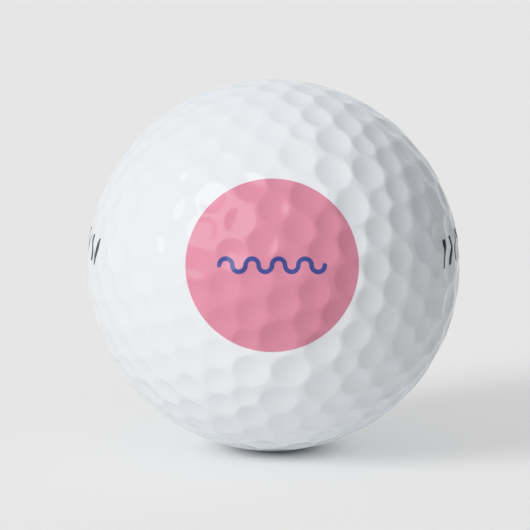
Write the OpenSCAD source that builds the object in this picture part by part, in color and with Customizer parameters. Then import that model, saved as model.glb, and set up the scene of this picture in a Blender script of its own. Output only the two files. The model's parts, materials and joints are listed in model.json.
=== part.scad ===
// Golf ball of two-piece construction: a rubber core inside a dimpled cover. The cover is
// moulded from two half cups that meet on a plane parting line. The printing is a set of thin
// ink films that follow the dimples. The origin is the ball's centre, and +Z is up.

/* [Ball] */
// Outer diameter of the ball over the cover
ball_d = 42.67; // [42.67:0.01:43.2]
// Diameter of the rubber core
core_d = 39; // [37:0.5:40]

/* [Dimple sizes] */
// Rim diameter of the dimple on each five-sided point of the pattern
point_dimple_d = 4.2; // [3.8:0.1:4.2]
// Rim diameter of the large dimples round each five-sided point
large_dimple_d = 4.1; // [3.7:0.1:4.1]
// Rim diameter of the medium dimples
medium_dimple_d = 3.45; // [3:0.05:3.45]
// Rim diameter of the small dimples
small_dimple_d = 2.8; // [2.4:0.1:2.8]
// Depth of a dimple below its rim, over its rim diameter
hollow_ratio = 0.047; // [0.035:0.001:0.05]

/* [Dimple pattern] */
// Angle from a five-sided point to its ring of large dimples
large_ring = 11.8; // [11.7:0.1:12]
// Angle from a five-sided point to the small dimple on each edge
small_ring = 16.8; // [16.6:0.1:17]
// Angle from a five-sided point to its ring of paired dimples
pair_ring = 22.2; // [22.1:0.1:22.3]
// Half of the turn between the two dimples of a pair
pair_half = 13.2; // [13:0.1:13.3]
// Angle from a five-sided point to the medium dimple on each edge
edge_ring = 25.6; // [25.4:0.1:25.8]
// Angle from a five-sided point to the dimples round each triangle's middle
inner_ring = 31.6; // [31.5:0.1:31.7]
// Angle from an edge's middle to the dimple beside it
beside_edge = 9.5; // [9.4:0.1:9.6]

/* [How the pattern lies] */
// Turn of the parting axis about +Z, from +X
pattern_turn = -20; // [-180:1:180]
// Tilt of the parting axis from +Z
pattern_tilt = 98; // [0:1:180]
// Spin of the pattern about its parting axis
pattern_spin = 4; // [0:1:71]

/* [Printing] */
// Thickness of each ink film
ink_t = 0.02; // [0.01:0.01:0.05]
// Diameter of the printed disc
disc_d = 19; // [10:0.5:22]
// Turn of the printed disc's middle about +Z, from +X
disc_turn = -90.5; // [-180:0.5:180]
// Height of the printed disc's middle above the equator, as an angle
disc_rise = 10; // [-60:1:60]
// Radius of each arc of the printed wave, at the middle of its stroke
wave_r = 0.72; // [0.5:0.02:0.9]
// Width of the printed wave's stroke
wave_w = 0.5; // [0.3:0.05:0.8]
// Number of arcs in the printed wave
wave_arcs = 8; // [2:1:10]
// Number of printed ticks on each side of the ball
ticks = 7; // [2:1:9]
// Distance from one tick to the next
tick_pitch = 2.3; // [1.5:0.1:2.4]
// Height of each tick
tick_h = 3.2; // [1:0.1:4]
// Width of each tick
tick_w = 0.6; // [0.3:0.1:1]
// Lean of the ticks from upright
tick_lean = 15; // [0:1:30]
// Turn of the left ticks' middle about +Z, from +X
left_ticks_turn = 180; // [150:1:210]
// Turn of the right ticks' middle about +Z, from +X
right_ticks_turn = -5; // [-30:1:30]
// Height of the ticks' middle above the equator, as an angle
ticks_rise = 8; // [-20:1:20]

/* [Hidden] */
$fn = 96;

ball_r = ball_d / 2;
core_r = core_d / 2;
reach = 2 * ball_d;
// How far a dimple's tool stands outside its rim, and its height.
rim_margin = 0.05;
tool_h = 1;
// How far each arc of the wave runs on into the next, so that they join.
arc_overlap = 0.1;

// The pattern's points are an icosahedron's twelve corners, this far apart.
point_apart = atan(2);
// Each point as [tilt from the axis, turn about the axis, turn of its first edge].
POINTS = concat(
    [[0, 0, 0], [180, 0, 0]],
    [for (k = [0:4]) [point_apart, 72 * k, 180]],
    [for (k = [0:4]) [180 - point_apart, 36 + 72 * k, 0]]
);
// The dimple beside an edge, by its angle from the point and its turn off the edge.
beside_ring = acos(cos(point_apart / 2) * cos(beside_edge));
beside_turn = atan(tan(beside_edge) / sin(point_apart / 2));
// What repeats on the five sides of each point: [angle from it, turn off the edge, diameter].
RINGS = [
    [large_ring, 36, large_dimple_d],
    [small_ring, 0, small_dimple_d],
    [pair_ring, 36 - pair_half, medium_dimple_d],
    [pair_ring, 36 + pair_half, medium_dimple_d],
    [edge_ring, 0, medium_dimple_d],
    [inner_ring, 36, medium_dimple_d],
    [beside_ring, beside_turn, medium_dimple_d]
];

function turn_z(v, a) = [v.x * cos(a) - v.y * sin(a), v.x * sin(a) + v.y * cos(a), v.z];
function turn_y(v, a) = [v.x * cos(a) + v.z * sin(a), v.y, v.z * cos(a) - v.x * sin(a)];
function on_ball(tilt, turn) = turn_z(turn_y([0, 0, 1], tilt), turn);
function from_point(p, v) = turn_z(turn_y(turn_z(v, p[2]), p[0]), p[1]);
function laid(v) = turn_z(turn_y(turn_z(v, pattern_spin), pattern_tilt), pattern_turn);

// Every dimple as [direction from the ball's centre, rim diameter].
DIMPLES = concat(
    [for (p = POINTS) [laid(from_point(p, [0, 0, 1])), point_dimple_d]],
    [for (p = POINTS, k = [0:4], r = RINGS)
        [laid(from_point(p, on_ball(r[0], 72 * k + r[1]))), r[2]]]
);
parting_axis = laid([0, 0, 1]);
disc_axis = on_ball(90 - disc_rise, disc_turn);

// A solid that lies along +Z from the centre, turned to lie along an axis.
module along(axis) {
    rotate([0, acos(axis.z), atan2(axis.y, axis.x)]) children();
}

// The tool that cuts one dimple, with a spherical end. On a surface raised by lift, it shrinks
// by lift. It stands rim_margin outside the rim, so that no two tools touch.
module dimple_tool(axis, rim_d, lift) {
    rim_r = rim_d / 2;
    depth = hollow_ratio * rim_d;
    hollow_r = (rim_r * rim_r + depth * depth) / (2 * depth);
    bottom = sqrt(ball_r * ball_r - rim_r * rim_r) - depth;
    along(axis) rotate_extrude($fn = 72) intersection() {
        translate([0, bottom + hollow_r]) circle(hollow_r - lift, $fn = 180);
        translate([0, bottom]) square([rim_r + rim_margin, tool_h]);
    }
}

// The dimples that lie within an angle of an axis.
module dimples_near(axis, angle, lift = 0) {
    for (d = DIMPLES) if (d[0] * axis > cos(angle)) dimple_tool(d[0], d[1], lift);
}

// One moulded half of the cover, on the side of the parting plane that side = 1 or -1 picks.
module half_cup(side) {
    difference() {
        sphere(ball_r);
        sphere(core_r);
        along(parting_axis) translate([0, 0, -side * reach / 2]) cube(reach, center = true);
        dimples_near(side * parting_axis, 90);
    }
}

// A film of ink over the ball's dimples, as wide as its 2D outline seen from outside.
module ink_film(axis, angle, layer = 0) {
    low = layer * ink_t;
    high = low + ink_t;
    difference() {
        intersection() {
            sphere(ball_r + high);
            along(axis) linear_extrude(reach) children();
        }
        dimples_near(axis, angle, high);
        difference() {
            sphere(ball_r + low);
            dimples_near(axis, angle, low);
        }
    }
}

// The outline of a wave that runs along Y, made of half rings that face each way in turn.
module wave_outline() {
    outer_r = wave_r + wave_w / 2;
    for (i = [0:wave_arcs - 1]) {
        side = i % 2 == 0 ? -1 : 1;
        translate([0, (2 * i + 1 - wave_arcs) * wave_r]) intersection() {
            difference() {
                circle(outer_r);
                circle(wave_r - wave_w / 2);
            }
            translate([side * (outer_r - arc_overlap), 0]) square(2 * outer_r, center = true);
        }
    }
}

// The outline of a row of leaning ticks that runs along Y.
module ticks_outline() {
    lean = tick_h / 2 * tan(tick_lean);
    for (i = [0:ticks - 1])
        translate([0, (i - (ticks - 1) / 2) * tick_pitch]) polygon([
            [-tick_h / 2, lean - tick_w / 2], [-tick_h / 2, lean + tick_w / 2],
            [tick_h / 2, tick_w / 2 - lean], [tick_h / 2, -tick_w / 2 - lean]
        ]);
}

module core() {
    color("#8a9a5b") sphere(core_r);
}

module cover_cup_left() {
    color("#f4f5f7") half_cup(-1);
}

module cover_cup_right() {
    color("#eceef1") half_cup(1);
}

module disc_print() {
    color("#e7a0b4") ink_film(disc_axis, 35) circle(disc_d / 2);
}

module wave_print() {
    color("#2f57a6") ink_film(disc_axis, 24, layer = 1) wave_outline();
}

module tick_print(turn) {
    color("#4a4c52") ink_film(on_ball(90 - ticks_rise, turn), 27) ticks_outline();
}

module tick_print_left() {
    tick_print(left_ticks_turn);
}

module tick_print_right() {
    tick_print(right_ticks_turn);
}

core();
cover_cup_left();
cover_cup_right();
disc_print();
wave_print();
tick_print_left();
tick_print_right();
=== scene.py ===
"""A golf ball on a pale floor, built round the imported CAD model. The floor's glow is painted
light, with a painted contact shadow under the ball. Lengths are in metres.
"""

import json
import math

import bpy
import numpy as np
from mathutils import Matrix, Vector


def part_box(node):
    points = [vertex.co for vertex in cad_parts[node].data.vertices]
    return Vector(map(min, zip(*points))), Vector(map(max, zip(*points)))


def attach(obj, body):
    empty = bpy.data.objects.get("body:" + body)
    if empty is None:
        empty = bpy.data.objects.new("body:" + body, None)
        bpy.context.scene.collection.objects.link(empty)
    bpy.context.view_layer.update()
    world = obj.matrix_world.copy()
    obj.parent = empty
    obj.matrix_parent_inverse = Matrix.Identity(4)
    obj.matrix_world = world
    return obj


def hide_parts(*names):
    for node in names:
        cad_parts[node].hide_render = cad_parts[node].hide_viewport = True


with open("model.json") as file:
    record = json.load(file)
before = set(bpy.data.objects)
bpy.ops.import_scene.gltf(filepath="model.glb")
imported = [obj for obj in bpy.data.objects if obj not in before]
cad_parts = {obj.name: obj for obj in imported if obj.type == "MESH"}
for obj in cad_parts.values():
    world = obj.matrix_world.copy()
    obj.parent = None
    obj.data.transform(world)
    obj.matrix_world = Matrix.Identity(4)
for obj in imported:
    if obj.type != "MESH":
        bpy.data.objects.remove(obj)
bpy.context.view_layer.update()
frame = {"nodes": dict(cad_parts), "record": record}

MM = 0.001

# The ball, from the frame: the tee seat is the ball's lowest point.
SEAT = frame["record"]["mounts"][0]["pos_m"]
BALL_R = -SEAT[2]
CORE_R = (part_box("core")[1][2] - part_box("core")[0][2]) / 2

# Dimples: rim diameters, the depth over the diameter, and how softly the rim rounds over.
POINT_D = 4.2 * MM
LARGE_D = 4.1 * MM
MEDIUM_D = 3.45 * MM
SMALL_D = 2.8 * MM
HOLLOW_RATIO = 0.047
RIM_BLEND = 0.075 * MM
# How far past its rim a dimple still softens the surface, in degrees round the ball.
BLEND_REACH = 2.5

# The pattern's angles, in degrees, as in the CAD source.
POINT_APART = math.degrees(math.atan(2))
LARGE_RING = 11.8
SMALL_RING = 16.8
PAIR_RING, PAIR_HALF = 22.2, 13.2
EDGE_RING = 25.6
INNER_RING = 31.6
BESIDE_EDGE = 9.5
PATTERN_TURN, PATTERN_TILT, PATTERN_SPIN = -20, 98, 4

# Printing, as in the CAD source.
INK_T = 0.02 * MM
DISC_D = 19 * MM
DISC_TURN, DISC_RISE = -90.5, 10
WAVE_R, WAVE_W, WAVE_ARCS = 0.72 * MM, 0.5 * MM, 8
TICKS, TICK_PITCH = 7, 2.3 * MM
TICK_H, TICK_W, TICK_LEAN = 3.2 * MM, 0.6 * MM, 15
TICK_CORNER = 0.12 * MM
TICKS_TURN = {"left": 180, "right": -5}
TICKS_RISE = 8

# Mesh fineness: squares along a quarter of the ball outside and inside, and over the disc.
OUTER_N, INNER_N = 176, 44
DISC_N = 132
# Steps along one arc of the wave, along its round ends, and across every stroke.
ARC_STEPS, CAP_STEPS, STROKE_STEPS = 24, 6, 6
# Even points along a tick, and closer ones at its ends for the round corners, as fractions of
# half its height.
TICK_POINTS = 18
TICK_END_POINTS = np.array([-1.0, -0.98, -0.92, -0.8])

# Materials: how rough the paint and its clear coat are, and how much coat the inks have.
PAINT_ROUGHNESS, COAT_ROUGHNESS = 0.6, 0.1
INK_COAT = 0.2
# The coat's ripple and the rubber's specks: bump strength and height.
RIPPLE = 0.05, 0.02 * MM
SPECKS = 0.3, 0.1 * MM
# How fine the clouding, the ripple and the specks are, per metre.
CLOUD_SCALE, RIPPLE_SCALE, SPECK_SCALE = 260, 1800, 1500


# ---- directions on the ball

def turn_z(degrees):
    c, s = math.cos(math.radians(degrees)), math.sin(math.radians(degrees))
    return np.array([[c, -s, 0], [s, c, 0], [0, 0, 1]])


def turn_y(degrees):
    c, s = math.cos(math.radians(degrees)), math.sin(math.radians(degrees))
    return np.array([[c, 0, s], [0, 1, 0], [-s, 0, c]])


def on_ball(tilt, turn):
    """The rotation that takes +Z to a tilt from +Z and a turn about it."""
    return turn_z(turn) @ turn_y(tilt)


PATTERN = on_ball(PATTERN_TILT, PATTERN_TURN) @ turn_z(PATTERN_SPIN)


def dimples():
    """Every dimple's direction, and its rim diameter."""
    half = math.radians(POINT_APART / 2)
    off = math.radians(BESIDE_EDGE)
    beside_ring = math.degrees(math.acos(math.cos(half) * math.cos(off)))
    beside_turn = math.degrees(math.atan(math.tan(off) / math.sin(half)))
    points = [(0, 0, 0), (180, 0, 0)]
    points += [(POINT_APART, 72 * k, 180) for k in range(5)]
    points += [(180 - POINT_APART, 36 + 72 * k, 0) for k in range(5)]
    rings = [
        (LARGE_RING, 36, LARGE_D),
        (SMALL_RING, 0, SMALL_D),
        (PAIR_RING, 36 - PAIR_HALF, MEDIUM_D),
        (PAIR_RING, 36 + PAIR_HALF, MEDIUM_D),
        (EDGE_RING, 0, MEDIUM_D),
        (INNER_RING, 36, MEDIUM_D),
        (beside_ring, beside_turn, MEDIUM_D),
    ]
    axes, sizes = [], []
    for tilt, turn, first in points:
        point = PATTERN @ on_ball(tilt, turn) @ turn_z(first)
        axes.append(point[:, 2])
        sizes.append(POINT_D)
        for side in range(5):
            for ring, off_edge, diameter in rings:
                axes.append((point @ on_ball(ring, 72 * side + off_edge))[:, 2])
                sizes.append(diameter)
    return np.array(axes), np.array(sizes)


AXES, SIZES = dimples()


# ---- the dimpled surface

def surface(directions, chunk=4000):
    """Points of the ball's surface along unit directions, and their outward normals.

    Each dimple is a spherical hollow. The ball and the hollows near a point are joined by a
    smooth minimum of their distances from the centre, which rounds the rims. The directions
    are worked through a chunk at a time, to save memory.
    """
    rim = SIZES / 2
    depth = HOLLOW_RATIO * SIZES
    hollow = (rim ** 2 + depth ** 2) / (2 * depth)
    centre = np.sqrt(BALL_R ** 2 - rim ** 2) - depth + hollow
    reach = np.cos(np.arcsin(rim / BALL_R) + math.radians(BLEND_REACH))
    # Where one hollow meets the ball, the smooth minimum takes off a quarter of RIM_BLEND.
    sharp = 4 * math.log(2) / RIM_BLEND
    points, normals = [], []
    for start in range(0, len(directions), chunk):
        p = directions[start:start + chunk]
        cosine = p @ AXES.T
        i, j = np.nonzero(cosine > reach)
        c = cosine[i, j]
        # The limits keep the root and the exponents in range where a hollow is far off.
        root = np.sqrt(np.maximum(hollow[j] ** 2 - centre[j] ** 2 * (1 - c * c), 1e-12))
        drop = centre[j] * c - root - BALL_R
        weight = np.exp(np.clip(-sharp * drop, -60, 60))
        total = 1 + np.bincount(i, weight, len(p))
        radius = BALL_R - np.log(total) / sharp
        slope = weight / total[i] * (centre[j] ** 2 * c / root - centre[j])
        tilt = (slope * c)[:, None] * p[i] - slope[:, None] * AXES[j]
        gradient = np.stack([np.bincount(i, tilt[:, k], len(p)) for k in range(3)], 1)
        n = p - gradient / radius[:, None]
        points.append(p * radius[:, None])
        normals.append(n / np.linalg.norm(n, axis=1, keepdims=True))
    return np.concatenate(points), np.concatenate(normals)


def surface_over(flat, turned):
    """The surface's points and normals over flat (down, right) places, seen along an axis."""
    radius = np.full(len(flat), BALL_R)
    # The dimples are shallow, so four rounds settle each point's distance from the centre.
    for _ in range(4):
        across = flat / radius[:, None]
        up = np.sqrt(1 - (across ** 2).sum(1))
        points, normals = surface(np.column_stack([across, up]) @ turned.T)
        radius = np.linalg.norm(points, axis=1)
    return points, normals


# ---- mesh building

def make_piece(name, points, faces, normals, material):
    """An object on the ball's one body, with smooth shading from the given normals."""
    mesh = bpy.data.meshes.new(name)
    mesh.from_pydata([tuple(p) for p in points], [], faces)
    mesh.polygons.foreach_set("use_smooth", [True] * len(mesh.polygons))
    mesh.normals_split_custom_set_from_vertices([tuple(n) for n in normals])
    mesh.materials.append(material)
    mesh.validate(verbose=False, clean_customdata=False)
    piece = bpy.data.objects.new(name, mesh)
    bpy.context.scene.collection.objects.link(piece)
    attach(piece, "root")
    return piece


def half_ball_grid(n):
    """Directions and squares of a cube grid over the half with z > 0, and its rim in order.

    The top face has n by n squares, and the four sides n by n/2 squares each.
    """
    steps = np.tan(np.linspace(-math.pi / 4, math.pi / 4, n + 1))
    index, points, faces = {}, [], []

    def corner(v):
        key = tuple(np.round(v, 9))
        if key not in index:
            index[key] = len(points)
            points.append(v)
        return index[key]

    top = [[corner((x, y, 1.0)) for x in steps] for y in steps]
    for r in range(n):
        for c in range(n):
            faces.append((top[r][c], top[r][c + 1], top[r + 1][c + 1], top[r + 1][c]))
    rim = []
    for cx, cy in ((1, 0), (0, 1), (-1, 0), (0, -1)):
        side = [[corner((cx - cy * t, cy + cx * t, z)) for t in steps]
                for z in steps[n // 2:]]
        for r in range(n // 2):
            for c in range(n):
                faces.append((side[r][c], side[r][c + 1], side[r + 1][c + 1], side[r + 1][c]))
        rim += side[0][:-1]
    points = np.array(points)
    return points / np.linalg.norm(points, axis=1, keepdims=True), faces, rim


def cover_half(name, side, material):
    """One moulded cup of the cover: dimpled outside, a plain sphere inside, a flat rim."""
    outer, faces, outer_rim = half_ball_grid(OUTER_N)
    inner, inner_faces, inner_rim = half_ball_grid(INNER_N)
    flip = np.diag([1, side, side])
    outer = outer @ (PATTERN @ flip).T
    inner = inner @ (PATTERN @ flip).T
    points, normals = surface(outer)
    count = len(points)
    faces += [tuple(count + v for v in reversed(face)) for face in inner_faces]
    inner_rim = [count + v for v in inner_rim]
    per = OUTER_N // INNER_N
    for k in range(len(inner_rim)):
        start = k * per
        arc = [outer_rim[(start + i) % len(outer_rim)] for i in range(per + 1)]
        near, far = inner_rim[k], inner_rim[(k + 1) % len(inner_rim)]
        middle = per // 2
        for i in range(per):
            faces.append((arc[i + 1], arc[i], near if i < middle else far))
        faces.append((far, arc[middle], near))
    return make_piece(name, np.concatenate([points, inner * CORE_R]), faces,
                      np.concatenate([normals, -inner]), material)


def film(name, grids, turned, low, high, material):
    """A closed film over the surface from low to high above it.

    Each grid is an array of rows, columns and (down, right), as seen from outside along the
    film's axis, which turned takes from +Z.
    """
    points, normals, faces = [], [], []
    count = 0
    for grid in grids:
        rows, cols = grid.shape[:2]
        base, n = surface_over(grid.reshape(-1, 2), turned)
        points += [base + n * high, base + n * low]
        normals += [n, -n]
        top = np.arange(rows * cols).reshape(rows, cols) + count
        under = top + rows * cols
        for r in range(rows - 1):
            for c in range(cols - 1):
                a, b, d, e = top[r, c], top[r + 1, c], top[r + 1, c + 1], top[r, c + 1]
                faces.append((a, b, d, e))
                drop = rows * cols
                faces.append((e + drop, d + drop, b + drop, a + drop))
        edge = [*[(0, c) for c in range(cols)], *[(r, cols - 1) for r in range(1, rows)],
                *[(rows - 1, c) for c in range(cols - 2, -1, -1)],
                *[(r, 0) for r in range(rows - 2, 0, -1)]]
        for here, there in zip(edge, edge[1:] + edge[:1]):
            faces.append((top[here], top[there], under[there], under[here]))
        count += 2 * rows * cols
    faces = [tuple(int(v) for v in face) for face in faces]
    return make_piece(name, np.concatenate(points), faces, np.concatenate(normals),
                      material)


def disc_grid(radius, n):
    """A square grid of n by n squares, pushed out to a round edge."""
    # The middle's squares are drawn in a little, which leaves more room for those near the edge.
    middle_scale = 0.9
    t = np.linspace(-1, 1, n + 1)
    x, y = np.meshgrid(t, t, indexing="ij")
    reach = np.maximum(abs(x), abs(y))
    length = np.hypot(x, y)
    scale = np.where(length > 0, reach / np.maximum(length, 1e-9), 0)
    round_xy = np.stack([x * scale, y * scale], -1)
    square_xy = np.stack([x, y], -1) * middle_scale
    blend = (reach ** 2)[..., None]
    return radius * (round_xy * blend + square_xy * (1 - blend))


def ribbon_grid(middle, half_width):
    """A grid along a line of points, as wide each side as half_width says."""
    along = np.gradient(middle, axis=0)
    along /= np.linalg.norm(along, axis=1, keepdims=True)
    side = np.column_stack([-along[:, 1], along[:, 0]])
    spread = np.linspace(-1, 1, STROKE_STEPS + 1)
    offset = half_width[:, None] * spread
    return middle[:, None] + offset[..., None] * side[:, None]


def wave_grid():
    """The wave's ribbon: half circles that face each way in turn, with round ends."""
    arcs = []
    for k in range(WAVE_ARCS):
        side = -1 if k % 2 == 0 else 1
        centre = (2 * k + 1 - WAVE_ARCS) * WAVE_R
        angle = np.linspace(0, math.pi, ARC_STEPS, endpoint=False)
        arcs.append(np.column_stack([side * WAVE_R * np.sin(angle),
                                     centre - WAVE_R * np.cos(angle)]))
    end = WAVE_ARCS * WAVE_R
    middle = np.concatenate([*arcs, [[0, end]]])
    half = WAVE_W / 2
    cap = half * np.cos(np.linspace(0.0, math.pi / 2, CAP_STEPS + 1))[:-1]
    cap_half = np.sqrt(half ** 2 - cap ** 2)
    first = np.column_stack([cap, np.full(len(cap), -end)])
    last_side = 1 if WAVE_ARCS % 2 == 0 else -1
    last = np.column_stack([-last_side * cap[::-1], np.full(len(cap), end)])
    middle = np.concatenate([first, middle, last])
    widths = np.concatenate([cap_half, np.full(len(middle) - 2 * len(cap), half),
                             cap_half[::-1]])
    return ribbon_grid(middle, widths)


def tick_grid(place):
    """One leaning tick with small round corners, place along the row."""
    even = np.linspace(-1, 1, TICK_POINTS)
    end = TICK_END_POINTS
    t = np.concatenate([end, even[abs(even) < abs(end[-1])], -end[::-1]])
    down = t * TICK_H / 2
    from_end = TICK_H / 2 - abs(down)
    inside = np.clip(1 - from_end / TICK_CORNER, 0, 1)
    half = TICK_W / 2 - TICK_CORNER * (1 - np.sqrt(1 - inside ** 2))
    right = place - down * math.tan(math.radians(TICK_LEAN))
    spread = np.linspace(-1, 1, STROKE_STEPS + 1)
    return np.stack([np.repeat(down[:, None], STROKE_STEPS + 1, 1),
                     right[:, None] + half[:, None] * spread], -1)


# ---- materials

def new_material(name, colour, roughness, coat=0.0, coat_roughness=0.0):
    """A material with a Principled shader, and its node tree's parts."""
    material = bpy.data.materials.new(name)
    material.use_nodes = True
    nodes, links = material.node_tree.nodes, material.node_tree.links
    shader = nodes["Principled BSDF"]
    shader.inputs["Base Color"].default_value = (*colour, 1)
    shader.inputs["Roughness"].default_value = roughness
    shader.inputs["Coat Weight"].default_value = coat
    shader.inputs["Coat Roughness"].default_value = coat_roughness
    return material, nodes, links, shader


def noise(nodes, links, scale, detail):
    """A noise over the object's own space, in features per metre."""
    place = nodes.new("ShaderNodeTexCoord")
    texture = nodes.new("ShaderNodeTexNoise")
    texture.inputs["Scale"].default_value = scale
    texture.inputs["Detail"].default_value = detail
    links.new(place.outputs["Object"], texture.inputs["Vector"])
    return texture.outputs["Fac"]


def ramp(nodes, links, fac, stops):
    """A colour ramp with (position, colour) stops."""
    node = nodes.new("ShaderNodeValToRGB")
    band = node.color_ramp
    while len(band.elements) < len(stops):
        band.elements.new(0.5)
    for element, (position, colour) in zip(band.elements, stops):
        element.position = position
        element.color = (*colour, 1)
    links.new(fac, node.inputs["Fac"])
    return node.outputs["Color"]


def bump(nodes, links, shader, height, strength, distance):
    """A bump on the shader's normal, as high as distance at full strength."""
    node = nodes.new("ShaderNodeBump")
    node.inputs["Strength"].default_value = strength
    node.inputs["Distance"].default_value = distance
    links.new(height, node.inputs["Height"])
    links.new(node.outputs["Normal"], shader.inputs["Normal"])


def clouded(nodes, links, fac, colour, dark, spread):
    """A colour that a noise darkens to dark times itself, over spread each side of half way."""
    darker = tuple(c * dark for c in colour)
    return ramp(nodes, links, fac, [(0.5 - spread, darker), (0.5 + spread, colour)])


def coated_material(name, colour, variation, coat):
    """Paint or ink under a clear coat, with faint clouding and the coat's slight ripple."""
    material, nodes, links, shader = new_material(name, colour, PAINT_ROUGHNESS, coat,
                                                  COAT_ROUGHNESS)
    shader.inputs["Specular IOR Level"].default_value = 0.0
    cloud = noise(nodes, links, CLOUD_SCALE, detail=4)
    links.new(clouded(nodes, links, cloud, colour, 1 - variation, 0.2),
              shader.inputs["Base Color"])
    bump(nodes, links, shader, noise(nodes, links, RIPPLE_SCALE, detail=1), *RIPPLE)
    return material


def core_material():
    """Dull olive rubber with darker specks."""
    colour = (0.20, 0.24, 0.10)
    material, nodes, links, shader = new_material("core_rubber", colour, 0.8)
    specks = noise(nodes, links, SPECK_SCALE, detail=6)
    links.new(clouded(nodes, links, specks, colour, 0.7, 0.15), shader.inputs["Base Color"])
    bump(nodes, links, shader, specks, *SPECKS)
    return material


# ---- the pieces

cover = coated_material("cover_white", (0.83, 0.85, 0.88), 0.03, 1.0)
pink = coated_material("pink_ink", (0.705, 0.29, 0.39), 0.04, INK_COAT)
blue = coated_material("blue_ink", (0.095, 0.115, 0.32), 0.05, INK_COAT)
grey = coated_material("grey_ink", (0.12, 0.125, 0.135), 0.05, INK_COAT)

left = cover_half("cover_left", -1, cover)
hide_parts("cover_cup_left")
right = cover_half("cover_right", 1, cover)
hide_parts("cover_cup_right")

facing_disc = on_ball(90 - DISC_RISE, DISC_TURN)
disc = film("printed_disc", [disc_grid(DISC_D / 2, DISC_N)], facing_disc, 0, INK_T,
            pink)
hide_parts("disc_print")
wave = film("printed_wave", [wave_grid()], facing_disc, INK_T, 2 * INK_T, blue)
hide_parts("wave_print")
for side, turn in TICKS_TURN.items():
    grids = [tick_grid((k - (TICKS - 1) / 2) * TICK_PITCH) for k in range(TICKS)]
    ticks = film("printed_ticks_" + side, grids, on_ball(90 - TICKS_RISE, turn), 0, INK_T,
                 grey)
    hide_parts("tick_print_" + side)

core = frame["nodes"]["core"]
core.data.materials.clear()
core.data.materials.append(core_material())

# ---- floor, light and camera

FLOOR_SIZE = 6.0
# The floor's glow is painted light: its strength, and where it starts and is full, in ball radii
# from the seat. Closer in than the start, it is a painted contact shadow.
PAINTED_GLOW, PAINTED_GLOW_START, PAINTED_GLOW_FULL = 0.305, 0.05, 0.48
floor_mesh = bpy.data.meshes.new("floor")
h = FLOOR_SIZE / 2
floor_mesh.from_pydata([(-h, -h, 0), (h, -h, 0), (h, h, 0), (-h, h, 0)], [], [(0, 1, 2, 3)])
floor = bpy.data.objects.new("floor", floor_mesh)
floor.location.z = -BALL_R
bpy.context.scene.collection.objects.link(floor)
floor_mat, nodes, links, shader = new_material("floor_pale", (0.57, 0.57, 0.57), 0.9)
shader.inputs["Specular IOR Level"].default_value = 0.0
shader.inputs["Emission Color"].default_value = (1, 1, 1, 1)
# The floor's glow is painted light that stands in for light from far round. It fades out close
# under the ball, which paints a contact shadow there.
place = nodes.new("ShaderNodeTexCoord")
apart = nodes.new("ShaderNodeVectorMath")
apart.operation = "LENGTH"
links.new(place.outputs["Object"], apart.inputs[0])
painted_glow_fade = nodes.new("ShaderNodeMapRange")
painted_glow_fade.interpolation_type = "SMOOTHSTEP"
painted_glow_fade.inputs["From Min"].default_value = PAINTED_GLOW_START * BALL_R
painted_glow_fade.inputs["From Max"].default_value = PAINTED_GLOW_FULL * BALL_R
painted_glow_fade.inputs["To Min"].default_value = 0.0
painted_glow_fade.inputs["To Max"].default_value = PAINTED_GLOW
links.new(apart.outputs["Value"], painted_glow_fade.inputs["Value"])
links.new(painted_glow_fade.outputs["Result"], shader.inputs["Emission Strength"])
floor_mesh.materials.append(floor_mat)

# The studio's pale walls, darker on the right, show in the clear coat and light nothing.
world = bpy.data.worlds.new("studio")
world.use_nodes = True
nodes, links = world.node_tree.nodes, world.node_tree.links
direction = nodes.new("ShaderNodeTexCoord")
parts = nodes.new("ShaderNodeSeparateXYZ")
links.new(direction.outputs["Generated"], parts.inputs[0])
walls = ramp(nodes, links, parts.outputs["X"],
             [(0.3, (0.9, 0.92, 0.94)), (0.9, (0.36, 0.38, 0.42))])
links.new(walls, nodes["Background"].inputs["Color"])
world.cycles_visibility.diffuse = False
bpy.context.scene.world = world


LIGHT_DISTANCE = 4.0


def place_light(name, kind, azimuth, elevation, power, colour):
    """A light round the ball, aimed at it. Azimuth 0 is the camera's side, and 90 its right."""
    data = bpy.data.lights.new(name, kind)
    data.energy = power
    data.color = colour
    light = bpy.data.objects.new(name, data)
    a, e = math.radians(azimuth), math.radians(elevation)
    spot = Vector((math.sin(a) * math.cos(e), -math.cos(a) * math.cos(e), math.sin(e)))
    light.location = spot * LIGHT_DISTANCE
    light.rotation_mode = "QUATERNION"
    light.rotation_quaternion = spot.to_track_quat("Z", "Y")
    bpy.context.scene.collection.objects.link(light)
    return light


def softbox(name, azimuth, elevation, size, power):
    """A square softbox that shows in the clear coat and lights nothing else."""
    light = place_light(name, "AREA", azimuth, elevation, power, (1, 1, 1))
    light.data.shape = "SQUARE"
    light.data.size = size
    light.visible_diffuse = False
    light.visible_camera = False


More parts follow.
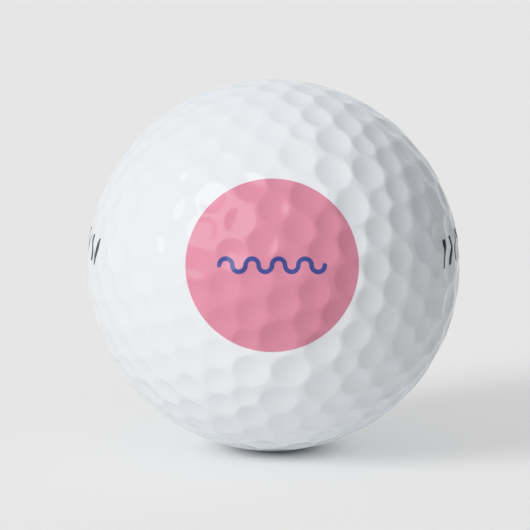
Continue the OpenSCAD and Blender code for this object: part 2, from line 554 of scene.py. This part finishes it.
# The ball's soft lights leave the floor out, and the floor's own leave out the ball.
not_floor = bpy.data.collections.new("not_floor")
not_floor.objects.link(floor)
not_floor.collection_objects[0].light_linking.link_state = "EXCLUDE"
floor_only = bpy.data.collections.new("floor_only")
floor_only.objects.link(floor)


def soft_light(name, azimuth, elevation, spread, strength, colour=(1, 1, 1), lit=not_floor):
    """Even light from a large far diffuser, spread degrees across, with no reflection."""
    light = place_light(name, "SUN", azimuth, elevation, strength, colour)
    light.data.angle = math.radians(spread)
    light.visible_glossy = False
    light.light_linking.receiver_collection = lit
    return light


softbox("key", -40, 34, 2.62, 240)
# A warm key in three parts, and cool light from behind and above.
soft_light("middle", -40, 34, 37, 0.84, (1.0, 0.99, 0.98))
soft_light("front", -30, 36, 34, 1.28, (1.0, 0.985, 0.96))
soft_light("side", -63, 33, 34, 1.03, (1.0, 0.985, 0.96))
soft_light("back", 182, 45, 110, 0.76, (0.9, 1.0, 1.1))
soft_light("top", -8, 68, 60, 0.48, (0.93, 1.0, 1.08))
# Faint blue light from below, which the floor doesn't block.
low = soft_light("low", 0, -90, 60, 0.22, (0.1, 0.6, 1.0))
low.data.use_shadow = False
# The floor's own: the key's light, and the room's light from all round. The ball shades both.
soft_light("floor_key", -61, 22, 26, 2.6, lit=floor_only)
soft_light("room", 0, 90, 170, 2.0, lit=floor_only)

CAMERA_RISE = 10
CAMERA_DISTANCE = 19.7 * BALL_R
CAMERA_AIM = Vector((-0.98 * MM, 0, 0.03 * MM))
LENS_MM, SENSOR_MM = 248.7, 36
NEAREST, FARTHEST = 0.01, 20
camera_data = bpy.data.cameras.new("camera")
camera_data.lens = LENS_MM
camera_data.sensor_width = SENSOR_MM
camera = bpy.data.objects.new("camera", camera_data)
rise = math.radians(CAMERA_RISE)
camera.location = Vector((0, -math.cos(rise), math.sin(rise))) * CAMERA_DISTANCE
camera.rotation_mode = "QUATERNION"
camera.rotation_quaternion = (CAMERA_AIM - camera.location).to_track_quat("-Z", "Y")
camera_data.clip_start, camera_data.clip_end = NEAREST, FARTHEST
bpy.context.scene.collection.objects.link(camera)
bpy.context.scene.camera = camera
bpy.context.scene.view_settings.view_transform = "Khronos PBR Neutral"
